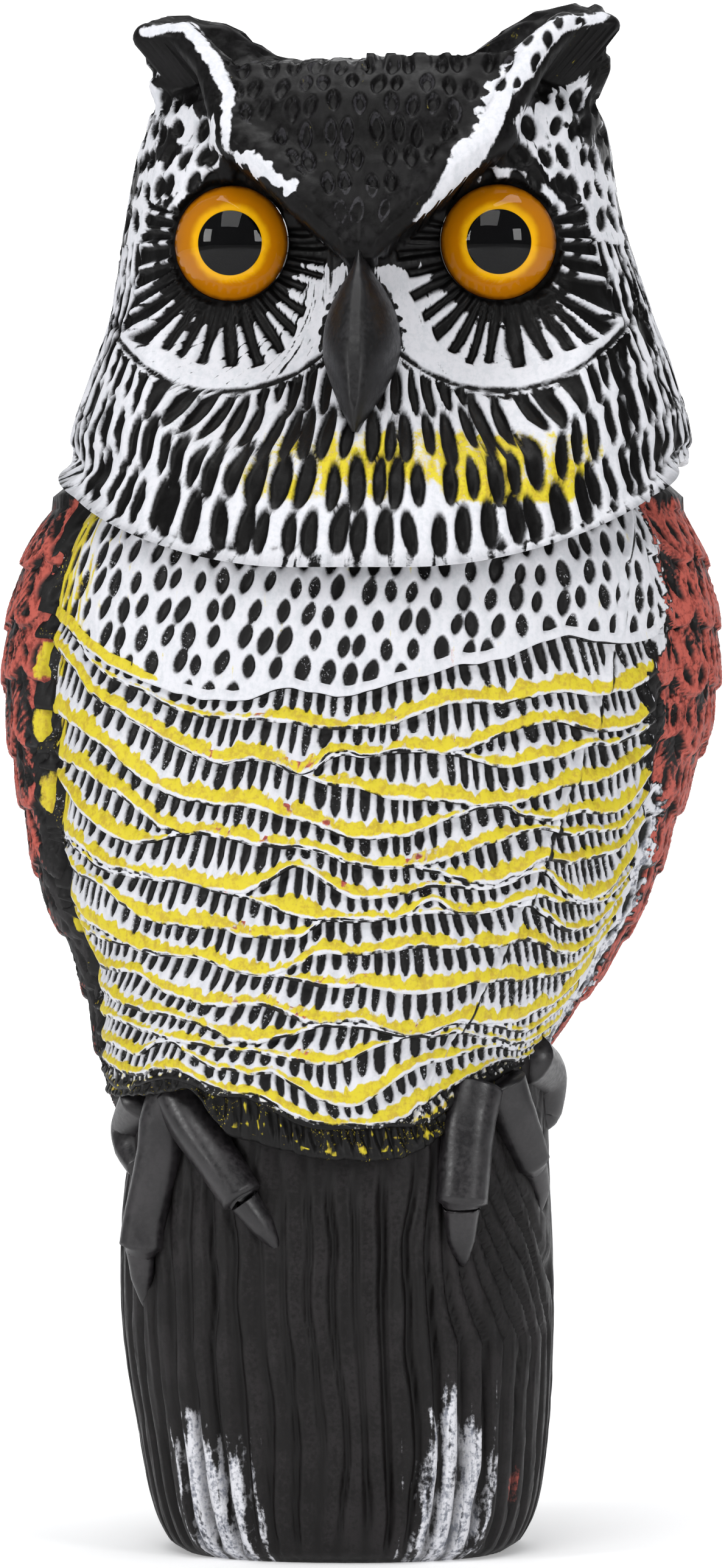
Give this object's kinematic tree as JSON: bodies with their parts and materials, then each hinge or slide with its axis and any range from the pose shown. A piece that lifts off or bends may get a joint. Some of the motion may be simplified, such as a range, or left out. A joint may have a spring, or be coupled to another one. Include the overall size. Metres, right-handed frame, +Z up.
{
  "type": "owl decoy",
  "caption": "Hollow moulded garden owl on a tree stump, with carved feathers, domed amber eyes and a head that turns freely on the neck.",
  "frame": {"origin": "middle of the stump's flat underside", "axes": "+Z up; the owl faces -Y and its left side is +X"},
  "size_m": [0.1957, 0.1881, 0.4147],
  "materials": {
    "body_plastic": "black plastic, dry-brushed white, yellow and red-brown",
    "head_plastic": "black plastic, dry-brushed white",
    "eye_dome": "clear polished dome over an amber painted ring"
  },
  "bodies": {
    "body": {"body": "body_plastic"},
    "head": {"head": "head_plastic", "left_eye": "eye_dome", "right_eye": "eye_dome"}
  },
  "joints": [
    {"name": "head_turn", "type": "hinge", "parent": "body", "child": "head", "pos_m": [0.007, 0.025, 0.322], "axis": [0, 0, 1], "continuous": true}
  ]
}
